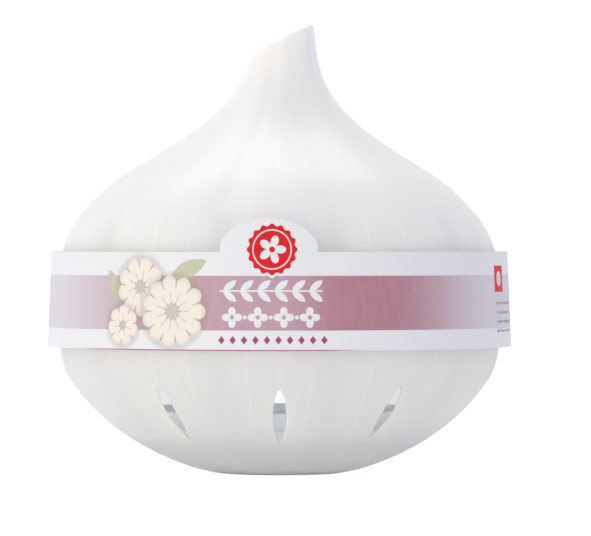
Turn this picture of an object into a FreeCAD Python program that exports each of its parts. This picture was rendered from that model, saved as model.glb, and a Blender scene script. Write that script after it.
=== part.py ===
"""Garlic keeper: a plastic box in the shape of a garlic bulb, with a card sleeve round its widest part.

Millimetres, +Z up, the foot on Z = 0, the front towards -Y. The bulb's axis is the Z axis.
Four sub-parts: bowl, lid, vent_tray and card_sleeve.
"""
import FreeCAD
import Part
import Sketcher
import math
import os

DOC = FreeCAD.newDocument("garlic_keeper")
START, END, CENTRE = 1, 2, 3        # places on an edge, in a sketch constraint
ORIGIN, V_AXIS = -1, -2             # the sketch's own origin and vertical axis, as geometry numbers
POINT = 1                           # the origin is a point with one place


# ---------------------------------------------------------------- driving dimensions

SIZES = {
    # the bulb as a whole
    "clove_count": 10,
    "front_clove_angle": 30.7,      # the cloves in front and behind are narrower than the others
    "rim_level": 45.0,              # where the lid's rim rests on the bowl's rim
    "rim_hollow": 55.2,             # radius of the hollow there
    # bowl
    "foot_recess_radius": 12.0,
    "foot_recess_depth": 0.6,
    "ring_fit": 0.3,                # gap between the bowl's centring ring and the lid
    "ring_thickness": 1.5,
    "ring_rise": 4.0,
    "ring_root_depth": 6.5,
    "vent_bottom": 9.2,             # the middle vents, in front and behind
    "vent_top": 23.3,
    "vent_width": 3.5,
    "vent_side_lift": 1.1,          # the vents beside them sit a little higher
    # stem
    "stem_cut_place": -7.2,         # left edge of the slanted cut: its place along X and its height
    "stem_cut_height": 110.6,
    "stem_cut_slope": 27.2,
    "stem_edge_round": 1.9,
    "stem_bore_radius": 5.9,        # the hollow inside ends parallel to the cut
    "stem_bore_shift": 1.2,
    "stem_bore_height": 112.4,
    # tray
    "tray_top": 15.2,
    "tray_plate": 1.5,
    "tray_foot_radius": 39.1,       # its skirt stands on the bowl's sloping wall
    "tray_foot_level": 12.0,
    "tray_lip_radius": 42.6,
    "tray_lip_level": 16.8,
    "tray_wall": 1.5,
    "tray_slot_width": 3.2,
    "tray_slot_start": 13.0,
    "tray_slot_end": 31.0,
    "tray_slot_count": 12,
    # sleeve
    "card": 0.4,
    "sleeve_bottom": 33.2,
    "sleeve_top": 58.0,
    "sleeve_bottom_radius": 60.6,   # inside of the card, which flares a little towards its lower edge
    "sleeve_top_radius": 59.6,
    "tab_half_width": 12.5,
    "tab_rise": 8.5,
    "tab_place": -2.7,
    "glue_lap_angle": 14.0,
}

# Sections through the cloves: level, radius over the crests, depth of the valleys, sideways shift.
BOWL_OUTSIDE = [
    (0.0, 16.0, 0.10, 0.0),
    (1.0, 21.0, 0.15, 0.0),
    (2.5, 25.8, 0.30, 0.0),
    (5.0, 31.9, 0.50, 0.0),
    (9.0, 39.2, 0.75, 0.0),
    (14.0, 46.0, 0.95, 0.0),
    (20.0, 52.0, 1.15, 0.0),
    (27.0, 56.8, 1.25, 0.0),
    (35.0, 58.4, 1.30, 0.0),
    (45.0, 58.3, 1.30, 0.0),
]
LID_OUTSIDE = [
    (45.0, 58.3, 1.30, 0.0),
    (52.0, 57.95, 1.45, -0.05),
    (58.0, 57.4, 1.60, -0.15),
    (64.0, 55.1, 1.60, -0.25),
    (70.0, 50.5, 1.50, -0.35),
    (76.0, 43.9, 1.20, -0.35),
    (81.0, 36.2, 0.90, -0.30),
    (86.0, 28.0, 0.65, -0.10),
    (92.0, 19.7, 0.40, 0.30),
    (99.0, 13.2, 0.25, 0.70),
    (107.0, 9.4, 0.20, 1.10),
    (120.0, 7.4, 0.20, 1.40),
]
# Round sections through the hollows: level and radius, 1.9 inside the bottom of the valleys.
BOWL_INSIDE = [
    (2.4, 18.6), (4.0, 24.0), (8.0, 33.0), (13.0, 40.8), (20.0, 48.3), (28.0, 53.7), (36.0, 55.2), (45.0, 55.2),
]
LID_INSIDE = [
    (45.0, 55.2), (52.0, 54.7), (58.0, 53.8), (64.0, 51.3), (70.0, 46.4),
    (76.0, 39.5), (81.0, 31.6), (86.0, 24.0), (92.0, 16.5), (99.0, 10.7),
]


def section_rows():
    """The four tables above as named dimensions, such as lid_outside_crest_3."""
    words = ("level", "crest", "valley", "shift")
    for name, table in (("bowl_outside", BOWL_OUTSIDE), ("lid_outside", LID_OUTSIDE),
                        ("bowl_inside", BOWL_INSIDE), ("lid_inside", LID_INSIDE)):
        for number, section in enumerate(table):
            for word, value in zip(words, section):
                yield f"{name}_{word}_{number}", value


def make_sheet():
    """Write every driving dimension into the spreadsheet, one row each, with its name as the alias."""
    sheet = DOC.addObject("Spreadsheet::Sheet", "sizes")
    rows = list(SIZES.items()) + list(section_rows())
    for row, (name, value) in enumerate(rows, start=1):
        sheet.set(f"A{row}", name)
        sheet.set(f"B{row}", str(value))
        sheet.setAlias(f"B{row}", name)
    DOC.recompute()
    return sheet


SHEET = make_sheet()


def size(name):
    """The value of a driving dimension."""
    return float(SHEET.get(name))


def vector(x, y, z=0.0):
    return FreeCAD.Vector(x, y, z)


def polar(radius, angle):
    return vector(radius * math.cos(angle), radius * math.sin(angle))


# ---------------------------------------------------------------- bodies and sketches

def make_body(name):
    body = DOC.addObject("PartDesign::Body", name)
    body.Label = name
    return body


def origin_part(body, role):
    return next(feature for feature in body.Origin.OriginFeatures if feature.Role == role)


def make_sketch(body, name, role, level=None, shift=None):
    """A sketch on one of the body's origin planes, lifted and shifted by driving dimensions."""
    sketch = body.newObject("Sketcher::SketchObject", name)
    sketch.AttachmentSupport = [(origin_part(body, role), "")]
    sketch.MapMode = "FlatFace"
    if level:
        sketch.setExpression("AttachmentOffset.Base.z", f"sizes.{level}")
    if shift:
        sketch.setExpression("AttachmentOffset.Base.x", f"sizes.{shift}")
    return sketch


def bind(sketch, kind, target, value, expression):
    """Add a dimension to a sketch and bind it to the spreadsheet."""
    index = sketch.addConstraint(Sketcher.Constraint(kind, *target, value))
    sketch.setExpression(f"Constraints[{index}]", expression)


def add_chain(sketch, shapes):
    """Add a closed chain of edges and join each one to the next, whichever way it runs."""
    edges = [sketch.addGeometry(shape, False) for shape in shapes]
    for edge, following in zip(edges, edges[1:] + edges[:1]):
        gaps = {(here, there): (sketch.getPoint(edge, here) - sketch.getPoint(following, there)).Length
                for here in (END, START) for there in (START, END)}
        here, there = min(gaps, key=gaps.get)
        sketch.addConstraint(Sketcher.Constraint("Coincident", edge, here, following, there))
    return edges


def add_circle(sketch, alias, guide=False):
    """A circle about the sketch's origin, its radius a driving dimension."""
    circle = sketch.addGeometry(Part.Circle(vector(0, 0), vector(0, 0, 1), size(alias)), guide)
    sketch.addConstraint(Sketcher.Constraint("Coincident", circle, CENTRE, ORIGIN, POINT))
    bind(sketch, "Radius", (circle,), size(alias), f"sizes.{alias}")
    return circle


def add_corners(sketch, corners):
    """Closed outline of straight lines through (x, x expression, y, y expression) corners."""
    points = [vector(x, y) for x, _, y, _ in corners]
    lines = add_chain(sketch, [Part.LineSegment(start, end)
                               for start, end in zip(points, points[1:] + points[:1])])
    for line, (x, x_expression, y, y_expression) in zip(lines, corners):
        for kind, value, expression in (("DistanceX", x, x_expression), ("DistanceY", y, y_expression)):
            bind(sketch, kind, (ORIGIN, POINT, line, START), value, expression)
    return lines


def clove_widths():
    """The angle that each clove takes up, from the front one round to the right."""
    half = int(size("clove_count")) // 2
    front = size("front_clove_angle")
    side = (180 - front) / (half - 1)
    return 2 * ([front] + [side] * (half - 1))


def clove_section(body, name, table, number):
    """One section through the cloves: a closed chain of arcs that meet in the valleys."""
    row = f"{table}_{{}}_{number}"
    sketch = make_sketch(body, name, "XY_Plane", row.format("level"), row.format("shift"))
    crest = size(row.format("crest"))
    valley = crest - size(row.format("valley"))
    valley_word = f"(sizes.{row.format('crest')} - sizes.{row.format('valley')})"
    widths = [math.radians(width) for width in clove_widths()]
    starts = [-math.pi / 2 - widths[0] / 2 + sum(widths[:clove]) for clove in range(len(widths))]
    arcs = add_chain(sketch, [Part.Arc(polar(valley, start), polar(crest, start + width / 2),
                                       polar(valley, start + width)) for start, width in zip(starts, widths)])
    crest_guide = add_circle(sketch, row.format("crest"), guide=True)
    valley_guide = sketch.addGeometry(Part.Circle(vector(0, 0), vector(0, 0, 1), valley), True)
    sketch.addConstraint(Sketcher.Constraint("Coincident", valley_guide, CENTRE, ORIGIN, POINT))
    bind(sketch, "Radius", (valley_guide,), valley, valley_word)
    for arc in arcs:
        sketch.addConstraint(Sketcher.Constraint("PointOnObject", arc, START, valley_guide))
        sketch.addConstraint(Sketcher.Constraint("Tangent", arc, crest_guide))
    front, right, back = arcs[0], arcs[1], arcs[len(arcs) // 2]
    sketch.addConstraint(Sketcher.Constraint("Equal", front, back))
    for arc in arcs:
        if arc not in (front, right, back):
            sketch.addConstraint(Sketcher.Constraint("Equal", right, arc))
    for end, sign in ((START, -1), (END, 1)):
        half_width = sign * valley * math.sin(widths[0] / 2)
        bind(sketch, "DistanceX", (ORIGIN, POINT, front, end), half_width,
             f"{sign} * {valley_word} * sin(sizes.front_clove_angle / 2 * 1 deg)")
    return sketch


def clove_loft(body, table, sections):
    """The outside of one half of the bulb, lofted through its clove sections."""
    sketches = [clove_section(body, f"{table}_section_{number}", table, number)
                for number in range(len(sections))]
    return make_loft(body, "PartDesign::AdditiveLoft", table, sketches)


def round_loft(body, table, sections, last=()):
    """The hollow of one half of the bulb, lofted through circles."""
    sketches = []
    for number in range(len(sections)):
        level = f"{table}_level_{number}"
        sketch = make_sketch(body, f"{table}_section_{number}", "XY_Plane", level)
        add_circle(sketch, f"{table}_crest_{number}")
        sketches.append(sketch)
    return make_loft(body, "PartDesign::SubtractiveLoft", table, sketches + list(last))


def make_loft(body, kind, name, sketches):
    loft = body.newObject(kind, name)
    loft.Profile = sketches[0]
    loft.Sections = sketches[1:]
    DOC.recompute()
    return loft


def cut(body, name, sketch, length=None, along_normal=False):
    """Pocket a sketch, through everything both ways or by a length, and check that it cut something."""
    volume_before = body.Shape.Volume
    pocket = body.newObject("PartDesign::Pocket", name)
    pocket.Profile = sketch
    if length is None:
        pocket.Type = "ThroughAll"
        pocket.SideType = "Symmetric"
    else:
        pocket.setExpression("Length", length)
        pocket.Reversed = along_normal
    DOC.recompute()
    if body.Shape.Volume >= volume_before:
        raise RuntimeError(f"{name} cuts nothing")
    return pocket


def revolve(body, name, sketch):
    turn = body.newObject("PartDesign::Revolution", name)
    turn.Profile = sketch
    turn.ReferenceAxis = (sketch, ["V_Axis"])
    turn.Angle = 360
    DOC.recompute()
    return turn


def repeat(body, name, feature, count):
    """Repeat a feature evenly about the bulb's axis."""
    pattern = body.newObject("PartDesign::PolarPattern", name)
    pattern.Originals = [feature]
    pattern.Axis = (origin_part(body, "Z_Axis"), [""])
    pattern.Angle = 360
    pattern.setExpression("Occurrences", count)
    body.Tip = pattern
    DOC.recompute()


# ---------------------------------------------------------------- bowl

def vent_sketch(body, side):
    """A pointed lens standing on its tip, on a plane turned to the clove in front or to one beside it."""
    sketch = make_sketch(body, f"vent_outline_{side + 1}", "XZ_Plane")
    sketch.AttachmentOffset = FreeCAD.Placement(vector(0, 0), FreeCAD.Rotation(vector(0, 1), 1))
    turn = "(sizes.front_clove_angle + (180 - sizes.front_clove_angle) / (sizes.clove_count / 2 - 1)) / 2"
    sketch.setExpression("AttachmentOffset.Rotation.Angle", f"{side} * {turn} * 1 deg")
    sketch.setExpression("AttachmentOffset.Base.y", f"{abs(side)} * sizes.vent_side_lift")
    bottom, top, width = size("vent_bottom"), size("vent_top"), size("vent_width")
    low, high, middle = vector(0, bottom), vector(0, top), (bottom + top) / 2
    right, left = add_chain(sketch, [Part.Arc(low, vector(width / 2, middle), high),
                                     Part.Arc(high, vector(-width / 2, middle), low)])
    sketch.addConstraint(Sketcher.Constraint("Equal", right, left))
    sketch.addConstraint(Sketcher.Constraint("PointOnObject", right, START, V_AXIS))
    sketch.addConstraint(Sketcher.Constraint("PointOnObject", right, END, V_AXIS))
    bind(sketch, "DistanceY", (ORIGIN, POINT, right, START), bottom, "sizes.vent_bottom")
    bind(sketch, "DistanceY", (ORIGIN, POINT, right, END), top, "sizes.vent_top")
    radius = ((top - bottom) ** 2 + width ** 2) / (4 * width)
    bind(sketch, "Radius", (right,), radius,
         "((sizes.vent_top - sizes.vent_bottom)^2 + sizes.vent_width^2) / (4 * sizes.vent_width)")
    return sketch


def ring_sketch(body):
    """Half section of the ring that stands up inside the lid's rim, with its tapered root."""
    sketch = make_sketch(body, "ring_section", "XZ_Plane")
    hollow, rim = size("rim_hollow"), size("rim_level")
    outer = hollow - size("ring_fit")
    inner = outer - size("ring_thickness")
    half = size("ring_thickness") / 2
    top = rim + size("ring_rise")
    root = size("ring_root_depth")
    outer_word = "sizes.rim_hollow - sizes.ring_fit"
    inner_word = f"{outer_word} - sizes.ring_thickness"
    buried_word = "sizes.rim_hollow + sizes.ring_thickness / 2"
    top_word = "sizes.rim_level + sizes.ring_rise"
    add_corners(sketch, [
        (hollow + half, buried_word, rim, "sizes.rim_level"),
        (outer, outer_word, rim, "sizes.rim_level"),
        (outer, outer_word, top - half, f"{top_word} - sizes.ring_thickness / 2"),
        (outer - half, f"{outer_word} - sizes.ring_thickness / 2", top, top_word),
        (inner, inner_word, top, top_word),
        (inner, inner_word, rim - root / 2, "sizes.rim_level - sizes.ring_root_depth / 2"),
        (hollow + half, buried_word, rim - root, "sizes.rim_level - sizes.ring_root_depth"),
    ])
    return sketch


def make_bowl():
    body = make_body("bowl")
    clove_loft(body, "bowl_outside", BOWL_OUTSIDE)
    round_loft(body, "bowl_inside", BOWL_INSIDE)
    revolve(body, "centring_ring", ring_sketch(body))
    recess = make_sketch(body, "foot_recess_outline", "XY_Plane")
    add_circle(recess, "foot_recess_radius")
    cut(body, "foot_recess", recess, "sizes.foot_recess_depth", along_normal=True)
    for side in (-1, 0, 1):        # each cut opens a vent in front and the one opposite it behind
        cut(body, f"vent_pair_{side + 1}", vent_sketch(body, side))
    return body


# ---------------------------------------------------------------- lid

def stem_bore_sketch(body):
    """Round end of the hollow inside the stem, tilted to lie parallel to the slanted cut."""
    sketch = make_sketch(body, "stem_bore_end", "XY_Plane", "stem_bore_height", "stem_bore_shift")
    sketch.AttachmentOffset = FreeCAD.Placement(sketch.AttachmentOffset.Base,
                                                FreeCAD.Rotation(vector(0, -1), size("stem_cut_slope")))
    sketch.setExpression("AttachmentOffset.Rotation.Angle", "sizes.stem_cut_slope")
    add_circle(sketch, "stem_bore_radius")
    return sketch


def stem_cut_sketch(body):
    """Everything above the slanted cut, in the front view."""
    sketch = make_sketch(body, "stem_cut_outline", "XZ_Plane")
    reach = 2 * size("stem_bore_radius")
    place, height = size("stem_cut_place"), size("stem_cut_height")
    rise = math.tan(math.radians(size("stem_cut_slope")))
    highest = f"lid_outside_level_{len(LID_OUTSIDE) - 1}"
    top = size(highest) + reach
    reach_word = "2 * sizes.stem_bore_radius"
    rise_word = "tan(sizes.stem_cut_slope * 1 deg)"
    top_word = f"sizes.{highest} + {reach_word}"
    left_word = f"sizes.stem_cut_place - {reach_word}"
    right_word = f"sizes.stem_cut_place + 3 * {reach_word}"
    add_corners(sketch, [
        (place - reach, left_word, height - reach * rise,
         f"sizes.stem_cut_height - {reach_word} * {rise_word}"),
        (place + 3 * reach, right_word, height + 3 * reach * rise,
         f"sizes.stem_cut_height + 3 * {reach_word} * {rise_word}"),
        (place + 3 * reach, right_word, top, top_word),
        (place - reach, left_word, top, top_word),
    ])
    return sketch


def round_stem_edge(body):
    """Round the edges of the slanted face."""
    slope = math.radians(size("stem_cut_slope"))
    tip = body.Tip
    for number, face in enumerate(tip.Shape.Faces, start=1):
        flat = isinstance(face.Surface, Part.Plane)
        if flat and abs(abs(face.normalAt(0, 0).x) - math.sin(slope)) < 0.01:
            fillet = body.newObject("PartDesign::Fillet", "stem_edge")
            fillet.Base = (tip, [f"Face{number}"])
            fillet.setExpression("Radius", "sizes.stem_edge_round")
            DOC.recompute()
            return
    raise RuntimeError("the slanted face is missing")


def make_lid():
    body = make_body("lid")
    clove_loft(body, "lid_outside", LID_OUTSIDE)
    round_loft(body, "lid_inside", LID_INSIDE, last=[stem_bore_sketch(body)])
    cut(body, "stem_cut", stem_cut_sketch(body))
    round_stem_edge(body)
    return body


# ---------------------------------------------------------------- vent tray

def tray_profile(body):
    """Half section of the plate, with a lip above it and a skirt below it that slope with the bowl's wall."""
    sketch = make_sketch(body, "tray_section", "XZ_Plane")
    top, plate, wall = size("tray_top"), size("tray_plate"), size("tray_wall")
    foot, foot_level = size("tray_foot_radius"), size("tray_foot_level")
    lip, lip_level = size("tray_lip_radius"), size("tray_lip_level")
    slope = (lip - foot) / (lip_level - foot_level)
    inner_top = foot - wall + slope * (top - foot_level)
    inner_low = foot - wall + slope * (top - plate - foot_level)
    inner_word = "sizes.tray_foot_radius - sizes.tray_wall"
    slope_word = ("(sizes.tray_lip_radius - sizes.tray_foot_radius)"
                  " / (sizes.tray_lip_level - sizes.tray_foot_level)")
    top_word = f"{inner_word} + {slope_word} * (sizes.tray_top - sizes.tray_foot_level)"
    low_word = f"{inner_word} + {slope_word} * (sizes.tray_top - sizes.tray_plate - sizes.tray_foot_level)"
    under, under_word = top - plate, "sizes.tray_top - sizes.tray_plate"
    add_corners(sketch, [
        (0, "0", under, under_word),
        (inner_low, low_word, under, under_word),
        (foot - wall, inner_word, foot_level, "sizes.tray_foot_level"),
        (foot, "sizes.tray_foot_radius", foot_level, "sizes.tray_foot_level"),
        (lip, "sizes.tray_lip_radius", lip_level, "sizes.tray_lip_level"),
        (lip - wall, "sizes.tray_lip_radius - sizes.tray_wall", lip_level, "sizes.tray_lip_level"),
        (inner_top, top_word, top, "sizes.tray_top"),
        (0, "0", top, "sizes.tray_top"),
    ])
    return sketch


def slot_sketch(body):
    """A slot with round ends that points from the middle to the back."""
    sketch = make_sketch(body, "slot_outline", "XY_Plane", "tray_top")
    half, start, end = size("tray_slot_width") / 2, size("tray_slot_start"), size("tray_slot_end")
    right, far, left, near = (sketch.addGeometry(shape, False) for shape in (
        Part.LineSegment(vector(half, start), vector(half, end)),
        Part.Arc(vector(half, end), vector(0, end + half), vector(-half, end)),
        Part.LineSegment(vector(-half, end), vector(-half, start)),
        Part.Arc(vector(-half, start), vector(0, start - half), vector(half, start)),
    ))
    for edge, following in ((right, far), (far, left), (left, near), (near, right)):
        sketch.addConstraint(Sketcher.Constraint("Tangent", edge, END, following, START))
    sketch.addConstraint(Sketcher.Constraint("Vertical", right))
    for round_end, place, alias in ((near, start, "tray_slot_start"), (far, end, "tray_slot_end")):
        sketch.addConstraint(Sketcher.Constraint("PointOnObject", round_end, CENTRE, V_AXIS))
        bind(sketch, "DistanceY", (ORIGIN, POINT, round_end, CENTRE), place, f"sizes.{alias}")
    bind(sketch, "Radius", (far,), half, "sizes.tray_slot_width / 2")
    return sketch


def make_vent_tray():
    body = make_body("vent_tray")
    revolve(body, "plate", tray_profile(body))
    slot = cut(body, "slot", slot_sketch(body), "2 * sizes.tray_plate")
    repeat(body, "slots", slot, "sizes.tray_slot_count")
    return body


# ---------------------------------------------------------------- card sleeve

def card_section(body, name, role, layer, top, top_word):
    """Half section of the card from the sleeve's lower edge up to a height, along its slight flare."""
    sketch = make_sketch(body, name, role)
    bottom, card = size("sleeve_bottom"), size("card")
    low = size("sleeve_bottom_radius") + layer * card
    slope = (size("sleeve_bottom_radius") - size("sleeve_top_radius")) / (size("sleeve_top") - bottom)
    high = low - slope * (top - bottom)
    low_word = f"sizes.sleeve_bottom_radius + {layer} * sizes.card"
    high_word = (f"{low_word} - (sizes.sleeve_bottom_radius - sizes.sleeve_top_radius)"
                 f" * ({top_word} - sizes.sleeve_bottom) / (sizes.sleeve_top - sizes.sleeve_bottom)")
    add_corners(sketch, [
        (low, low_word, bottom, "sizes.sleeve_bottom"),
        (low + card, f"{low_word} + sizes.card", bottom, "sizes.sleeve_bottom"),
        (high + card, f"{high_word} + sizes.card", top, top_word),
        (high, high_word, top, top_word),
    ])
    return sketch


def above_band_sketch(body, name, with_tab):
    """Everything above the band's upper edge in the front view, less the round tab."""
    sketch = make_sketch(body, name, "XZ_Plane")
    reach = 1.2 * size("sleeve_bottom_radius")
    edge, high = size("sleeve_top"), size("sleeve_top") + 2 * size("tab_rise")
    left, right = size("tab_place") - size("tab_half_width"), size("tab_place") + size("tab_half_width")
    upper = [vector(reach, edge), vector(reach, high), vector(-reach, high), vector(-reach, edge)]
    shapes = [Part.LineSegment(start, end) for start, end in zip(upper, upper[1:])]
    if with_tab:
        ellipse = Part.Ellipse(vector(size("tab_place"), edge), size("tab_half_width"), size("tab_rise"))
        shapes += [Part.LineSegment(upper[-1], vector(left, edge)),
                   Part.ArcOfEllipse(ellipse, 0, math.pi),
                   Part.LineSegment(vector(right, edge), upper[0])]
    else:
        shapes.append(Part.LineSegment(upper[-1], upper[0]))
    lines = add_chain(sketch, shapes)
    bind(sketch, "DistanceY", (ORIGIN, POINT, lines[0], START), edge, "sizes.sleeve_top")
    return sketch


def make_card_sleeve():
    body = make_body("card_sleeve")
    tab_top = size("sleeve_top") + size("tab_rise")
    tab_word = "(sizes.sleeve_top + sizes.tab_rise)"
    revolve(body, "card", card_section(body, "card_section", "XZ_Plane", 0, tab_top, tab_word))
    depth = "1.2 * sizes.sleeve_bottom_radius"
    cut(body, "front_edge", above_band_sketch(body, "front_outline", True), depth, along_normal=True)
    cut(body, "back_edge", above_band_sketch(body, "back_outline", False), depth)
    lap = revolve(body, "glue_lap", card_section(body, "lap_section", "YZ_Plane", 1,
                                                 size("sleeve_top"), "sizes.sleeve_top"))
    lap.Midplane = True
    lap.setExpression("Angle", "sizes.glue_lap_angle")
    DOC.recompute()
    return body


# ---------------------------------------------------------------- build and export

def check_document():
    for item in DOC.Objects:
        if "Invalid" in item.State or "Error" in item.State:
            raise RuntimeError(f"{item.Name} did not build: {item.State}")


def check_shape(part):
    shape = part.Shape
    if shape.isNull() or not shape.isValid() or len(shape.Solids) != 1:
        raise RuntimeError(f"{part.Label} is not one valid solid")


PARTS = [make_bowl(), make_lid(), make_vent_tray(), make_card_sleeve()]
DOC.recompute()
check_document()
for part in PARTS:
    check_shape(part)
os.makedirs("parts", exist_ok=True)
for part in PARTS:
    part.Shape.exportStep(f"parts/{part.Label}.step")
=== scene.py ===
"""A garlic keeper: a ventilated plastic box in the shape of a garlic bulb, with a rack inside it and a
printed card sleeve round its widest part. Run as a script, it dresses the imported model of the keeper. Its
panel in the 3D view's sidebar makes each piece."""

import bisect
import functools
import math

import bmesh
import bpy
from mathutils import Matrix, Vector


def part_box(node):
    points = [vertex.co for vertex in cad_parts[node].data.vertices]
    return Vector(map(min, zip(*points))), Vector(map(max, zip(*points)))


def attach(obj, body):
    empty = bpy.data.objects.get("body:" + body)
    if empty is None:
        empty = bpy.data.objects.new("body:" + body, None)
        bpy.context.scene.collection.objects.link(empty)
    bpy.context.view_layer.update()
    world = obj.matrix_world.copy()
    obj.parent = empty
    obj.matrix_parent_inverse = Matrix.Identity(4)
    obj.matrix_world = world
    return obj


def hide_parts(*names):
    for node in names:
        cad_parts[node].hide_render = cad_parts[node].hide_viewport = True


bl_info = {
    "name": "Garlic keeper",
    "version": (1, 0, 0),
    "blender": (4, 5, 0),
    "location": "View3D > Sidebar > Garlic keeper",
    "description": "Makes the pieces, the finishes and the studio of a garlic keeper",
    "category": "Add Mesh",
}

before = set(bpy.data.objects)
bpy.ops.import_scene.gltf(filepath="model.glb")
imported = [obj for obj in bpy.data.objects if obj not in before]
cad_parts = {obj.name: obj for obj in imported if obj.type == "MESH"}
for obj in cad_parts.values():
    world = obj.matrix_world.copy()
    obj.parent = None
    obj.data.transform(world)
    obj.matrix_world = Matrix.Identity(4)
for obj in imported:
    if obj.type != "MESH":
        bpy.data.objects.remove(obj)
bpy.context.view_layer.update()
MM = 0.001
COLUMNS = 360           # mesh columns round the bulb
SLEEVE_COLUMNS = 1440   # more of them, for the tab's round edge
SLOT_COLUMNS = 24       # mesh columns of the rack for each slot
VENT_ROWS = 26          # mesh rows between the tips of a vent
SIDE_VENT_ROWS = 2      # mesh rows by which the vents at the sides sit higher
SECTORS = 12            # a turned surface is made as one sector and its copies
WELD = 1e-6             # vertices as near as this are at one place
NEAR = 0.01 * MM        # how near a vertex is to the level or radius that it is looked for at
BLUR = 0.1              # half the width of a printed edge, in mm
SHARP = math.radians(38)        # no smooth shading over sharper edges

# Sections through the cloves, in mm: level, radius over the crests, depth of the valleys, sideways shift.
BOWL_CLOVES = (
    (0.0, 16.0, 0.1, 0.0), (1.0, 21.0, 0.15, 0.0), (2.5, 25.8, 0.3, 0.0), (5.0, 31.9, 0.5, 0.0),
    (9.0, 39.2, 0.75, 0.0), (14.0, 46.0, 0.95, 0.0), (20.0, 52.0, 1.15, 0.0), (27.0, 56.8, 1.25, 0.0),
    (35.0, 58.4, 1.3, 0.0), (45.0, 58.3, 1.3, 0.0),
)
LID_CLOVES = (
    (45.0, 58.3, 1.3, 0.0), (52.0, 57.95, 1.45, -0.05), (58.0, 57.4, 1.6, -0.15), (64.0, 55.1, 1.6, -0.25),
    (70.0, 50.5, 1.5, -0.35), (76.0, 43.9, 1.2, -0.35), (81.0, 36.2, 0.9, -0.3), (86.0, 28.0, 0.65, -0.1),
    (92.0, 19.7, 0.4, 0.3), (99.0, 13.2, 0.25, 0.7), (107.0, 9.4, 0.2, 1.1), (120.0, 7.4, 0.2, 1.4),
)
# The hollows inside, in mm: level and radius.
BOWL_HOLLOW = ((2.4, 18.6), (4.0, 24.0), (8.0, 33.0), (13.0, 40.8), (20.0, 48.3), (28.0, 53.7),
               (36.0, 55.2), (45.0, 55.2))
LID_HOLLOW = ((45.0, 55.2), (52.0, 54.7), (58.0, 53.8), (64.0, 51.3), (70.0, 46.4), (76.0, 39.5),
              (81.0, 31.6), (86.0, 24.0), (92.0, 16.5), (99.0, 10.7), (105.0, 7.8), (111.8, 5.9))


# ---------------- sizes and colours

class BulbSizes(bpy.types.PropertyGroup):
    """Sizes of the moulded bulb."""

    front_clove: bpy.props.FloatProperty(
        name="Front clove", description="Angle of the narrower cloves in front and behind",
        default=math.radians(30.7), subtype="ANGLE")
    side_cloves: bpy.props.IntProperty(
        name="Side cloves", description="Cloves on each side, between those two", default=4)
    valley_round: bpy.props.FloatProperty(
        name="Valley round", description="Angle over which the bottom of a valley is rounded on each side",
        default=math.radians(1.6), subtype="ANGLE")
    rim_level: bpy.props.FloatProperty(
        name="Rim level", description="Where the lid rests on the bowl", default=45 * MM, unit="LENGTH")
    rim_round: bpy.props.FloatProperty(
        name="Rim round", description="Rounding of the two rims at the seam", default=0.3 * MM, unit="LENGTH")
    cut_level: bpy.props.FloatProperty(
        name="Cut level", description="Height of the stem's slanted cut at the bulb's axis",
        default=113.9 * MM, unit="LENGTH")
    cut_slope: bpy.props.FloatProperty(
        name="Cut slope", description="Slope of the stem's cut, rising to the right",
        default=math.radians(27.2), subtype="ANGLE")
    cut_round: bpy.props.FloatProperty(
        name="Cut round", description="Rounding of the cut's edge", default=1.9 * MM, unit="LENGTH")
    vent_low: bpy.props.FloatProperty(
        name="Vent bottom", description="Lower tip of the middle vents", default=9.2 * MM, unit="LENGTH")
    vent_high: bpy.props.FloatProperty(
        name="Vent top", description="Upper tip of the middle vents", default=23.3 * MM, unit="LENGTH")
    vent_width: bpy.props.FloatProperty(
        name="Vent width", description="Width of a vent at its middle", default=3.5 * MM, unit="LENGTH")
    vent_blunt: bpy.props.FloatProperty(
        name="Vent blunt", description="How blunt a vent's upper tip is, from 0 to 1", default=0.4)
    vent_round: bpy.props.FloatProperty(
        name="Vent round", description="Rounding of a vent's outer edge", default=0.45 * MM, unit="LENGTH")
    vent_draw: bpy.props.FloatProperty(
        name="Vent draw", description="How nearly the sides of the vents run straight back, from 0 to 1",
        default=0.85)
    vent_run_out: bpy.props.FloatProperty(
        name="Vent run-out", description="How far above and below a vent the inner wall is drawn aside",
        default=3 * MM, unit="LENGTH")
    vent_angle: bpy.props.FloatProperty(
        name="Vent angle", description="From the middle vents to those beside them",
        default=math.radians(34), subtype="ANGLE")


class TraySizes(bpy.types.PropertyGroup):
    """Sizes of the rack inside the bowl."""

    slots: bpy.props.IntProperty(name="Slots", description="Number of slots", default=12)
    slot_width: bpy.props.FloatProperty(
        name="Slot width", description="Width of a slot", default=3.2 * MM, unit="LENGTH")
    slot_start: bpy.props.FloatProperty(
        name="Slot start", description="Where a slot's straight sides start", default=13 * MM, unit="LENGTH")
    slot_end: bpy.props.FloatProperty(
        name="Slot end", description="Where a slot's straight sides end", default=31 * MM, unit="LENGTH")
    plate_top: bpy.props.FloatProperty(
        name="Plate top", description="Height of the plate's upper face", default=15.2 * MM, unit="LENGTH")
    plate: bpy.props.FloatProperty(
        name="Plate", description="Thickness of the plate", default=1.5 * MM, unit="LENGTH")
    foot_radius: bpy.props.FloatProperty(
        name="Foot radius", description="Outer radius of the skirt's foot", default=39.1 * MM,
        unit="LENGTH")
    wall: bpy.props.FloatProperty(
        name="Wall", description="Width of the skirt and the lip", default=1.5 * MM, unit="LENGTH")


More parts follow.
